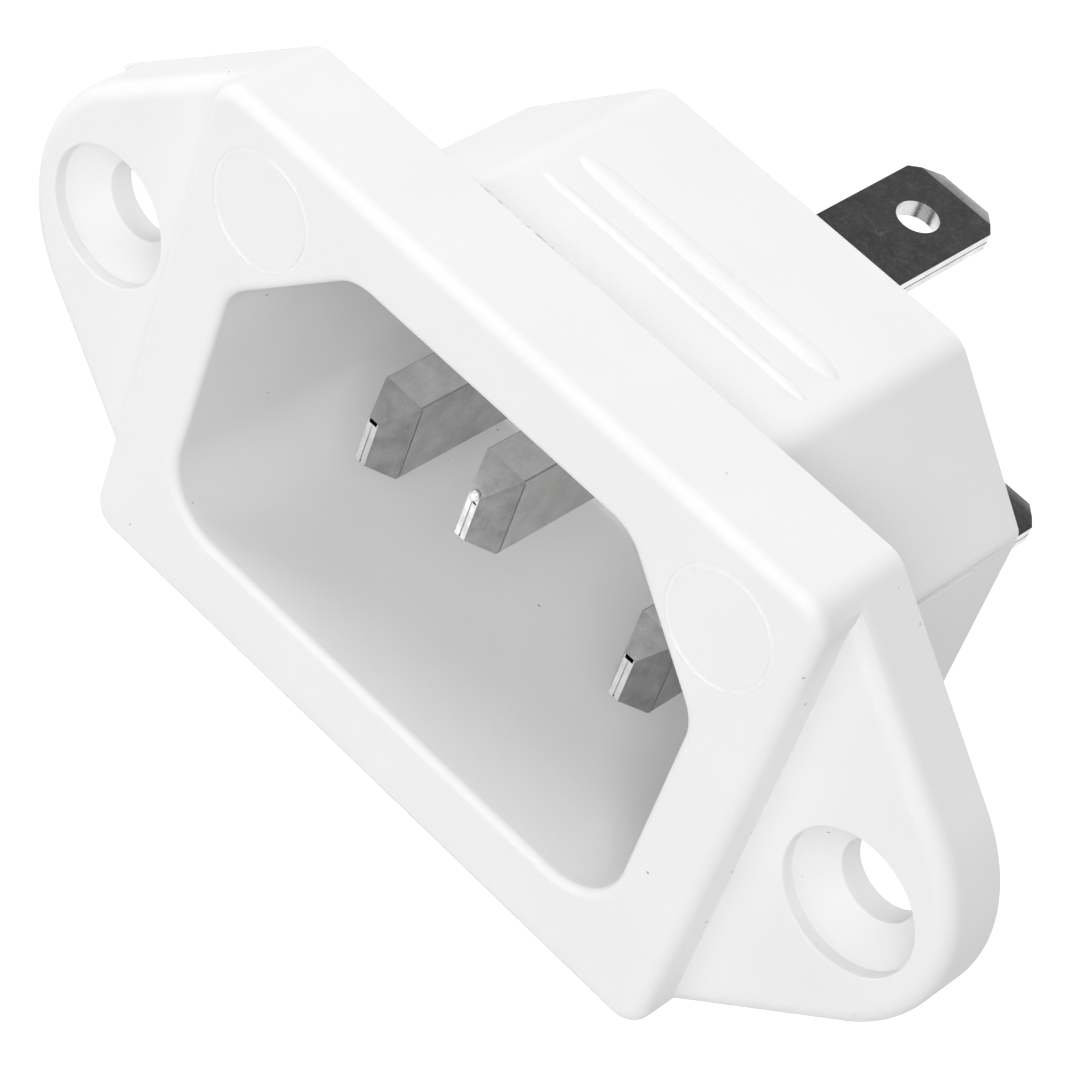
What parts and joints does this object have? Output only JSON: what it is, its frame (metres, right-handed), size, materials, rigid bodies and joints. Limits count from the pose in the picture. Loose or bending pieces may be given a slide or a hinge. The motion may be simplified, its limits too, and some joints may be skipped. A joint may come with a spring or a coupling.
{
  "type": "panel-mount appliance inlet",
  "caption": "Panel-mount appliance inlet: white moulded flange with countersunk screw ears, deep plug cavity with flat blade contacts, and solder tabs behind.",
  "frame": {"origin": "midway between the two screw holes, on the back of the flange, which rests on the panel", "axes": "+X along the line of the screw holes, +Y into the panel and out of the back, +Z towards the earth blade and the cavity's two sloped corners"},
  "size_m": [0.0486, 0.0306, 0.0238],
  "materials": {
    "housing_plastic": "white thermoplastic with a fine satin mould texture",
    "contact_metal": "dull grey plating over folded brass sheet"
  },
  "bodies": {
    "root": {"housing": "housing_plastic", "earth_contact": "contact_metal", "left_contact": "contact_metal", "right_contact": "contact_metal"}
  },
  "joints": []
}
